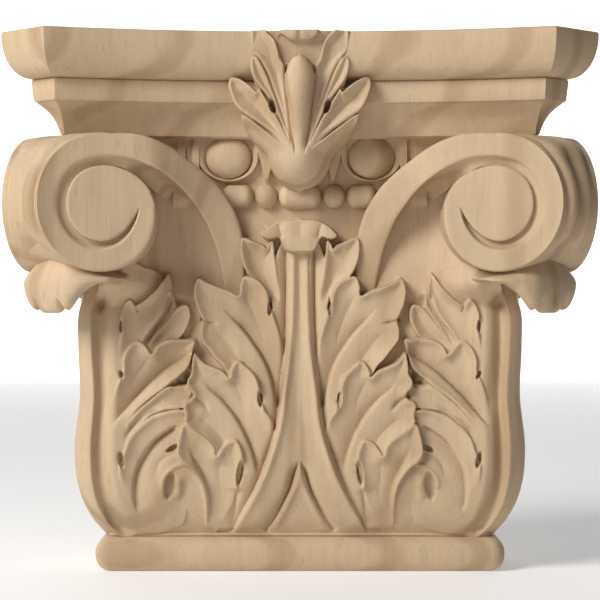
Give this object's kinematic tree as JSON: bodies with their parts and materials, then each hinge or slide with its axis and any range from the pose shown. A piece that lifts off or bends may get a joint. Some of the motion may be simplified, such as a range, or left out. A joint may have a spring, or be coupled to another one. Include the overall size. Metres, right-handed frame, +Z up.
{
  "type": "corinthian capital",
  "caption": "Carved pilaster capital with bowed abacus, egg-and-dart, corner volutes, acanthus leaves and half-round base, flat at the back.",
  "frame": {"origin": "centre of the capital's box in plan, on the underside of the base moulding", "axes": "+Z up from the underside to the abacus, -Y out of the carved front, +Y out of the flat back, +X to the right seen from the front"},
  "size_m": [0.303, 0.108, 0.277],
  "materials": {
    "maple": "unfinished hard maple, sanded and carved, warm beige with faint darker growth lines and fine flecks"
  },
  "bodies": {
    "root": {"capital": "maple"}
  },
  "joints": []
}
